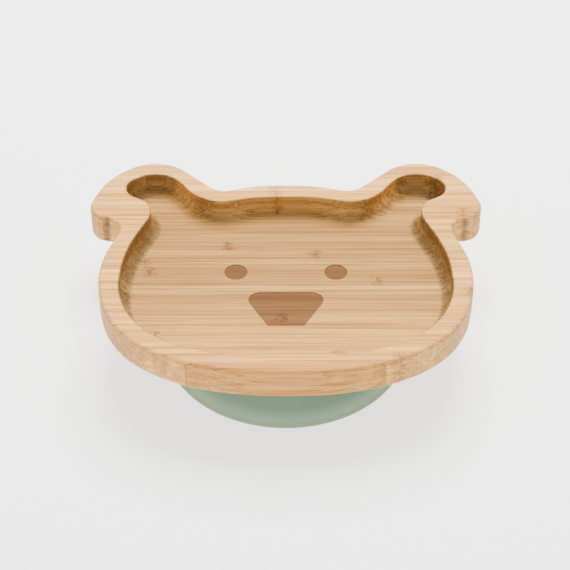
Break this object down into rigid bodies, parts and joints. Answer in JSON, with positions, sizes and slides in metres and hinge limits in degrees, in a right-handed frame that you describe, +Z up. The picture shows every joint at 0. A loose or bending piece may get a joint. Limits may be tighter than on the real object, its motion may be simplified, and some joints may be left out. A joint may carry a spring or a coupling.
{
  "type": "suction bowl",
  "caption": "Shallow bamboo feeding bowl shaped as a floppy-eared animal face, on a removable silicone suction base with a release tab.",
  "frame": {"origin": "on the table, at the middle of the suction base's sealing lip", "axes": "+Z up out of the bowl, +Y from the chin towards the ears, +X to the right seen from the chin"},
  "size_m": [0.2154, 0.1693, 0.05],
  "materials": {
    "bamboo": "sanded and lightly oiled",
    "silicone": "matt moulded silicone"
  },
  "bodies": {
    "sealing_ring": {"sealing_lip": "silicone", "suction_skirt": "silicone"},
    "suction_hub": {"suction_hub": "silicone"},
    "plate": {"bamboo_stave_01": "bamboo", "bamboo_stave_02": "bamboo", "bamboo_stave_03": "bamboo", "bamboo_stave_04": "bamboo", "bamboo_stave_05": "bamboo", "bamboo_stave_06": "bamboo", "bamboo_stave_07": "bamboo", "bamboo_stave_08": "bamboo", "bamboo_stave_09": "bamboo", "bamboo_stave_10": "bamboo", "bamboo_stave_11": "bamboo", "bamboo_stave_12": "bamboo", "bamboo_stave_13": "bamboo", "bamboo_stave_14": "bamboo", "bamboo_stave_15": "bamboo", "bamboo_stave_16": "bamboo", "bamboo_stave_17": "bamboo", "bamboo_stave_18": "bamboo", "bamboo_stave_19": "bamboo", "bamboo_stave_20": "bamboo", "bamboo_stave_21": "bamboo", "left_ear_stave_1": "bamboo", "right_ear_stave_1": "bamboo", "left_ear_stave_2": "bamboo", "right_ear_stave_2": "bamboo", "left_ear_stave_3": "bamboo", "right_ear_stave_3": "bamboo"},
    "release_tab": {"release_tab": "silicone"}
  },
  "joints": [
    {"name": "suction_press", "type": "slide", "parent": "sealing_ring", "child": "suction_hub", "axis": [0, 0, 1], "range_m": [-0.004, 0], "stiffness_N_per_m": 2500, "springref_m": 0.004, "deforming": ["suction_skirt"]},
    {"name": "plate_lift_off", "type": "slide", "parent": "suction_hub", "child": "plate", "axis": [0, 0, 1], "range_m": [0, 0.06]},
    {"name": "tab_lift", "type": "hinge", "parent": "sealing_ring", "child": "release_tab", "pos_m": [0, 0.0675, 0.0016], "axis": [1, 0, 0], "range_deg": [0, 60], "stiffness_Nm_per_rad": 0.004}
  ]
}
